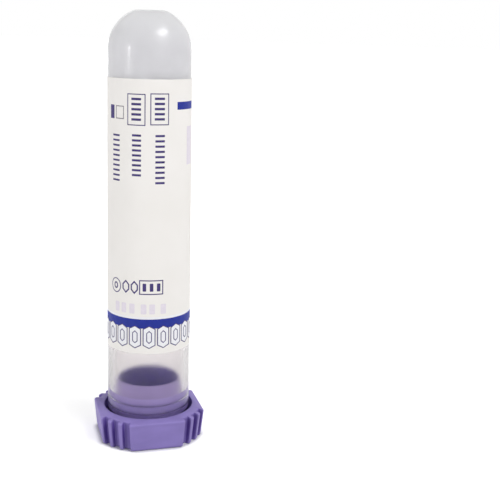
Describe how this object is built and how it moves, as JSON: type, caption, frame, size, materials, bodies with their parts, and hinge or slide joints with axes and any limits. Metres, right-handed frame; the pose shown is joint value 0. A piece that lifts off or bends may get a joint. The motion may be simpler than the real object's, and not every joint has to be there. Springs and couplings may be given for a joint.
{
  "type": "blood collection tube",
  "caption": "Round-bottomed translucent blood collection tube with a wrap-round label, standing upside down on its purple push-in cap with a fluted square flange.",
  "frame": {"origin": "on the axis, in the plane of the cap's flat outer face, which the tube stands on", "axes": "+Z along the axis from the cap to the tube's domed end; the cap's four flats face +X, -X, +Y and -Y; the label's seam faces +Y"},
  "size_m": [0.0152, 0.0152, 0.0614],
  "materials": {
    "tube_plastic": "translucent natural polypropylene, satin",
    "label_film": "printed plastic film, cream white, satin",
    "cap_plastic": "moulded polyethylene, purple, semi-gloss"
  },
  "bodies": {
    "cap": {"cap": "cap_plastic"},
    "tube": {"tube": "tube_plastic", "label": "label_film"}
  },
  "joints": [
    {"name": "cap_pull", "type": "slide", "parent": "cap", "child": "tube", "axis": [0, 0, 1], "range_m": [0, 0.012]}
  ]
}
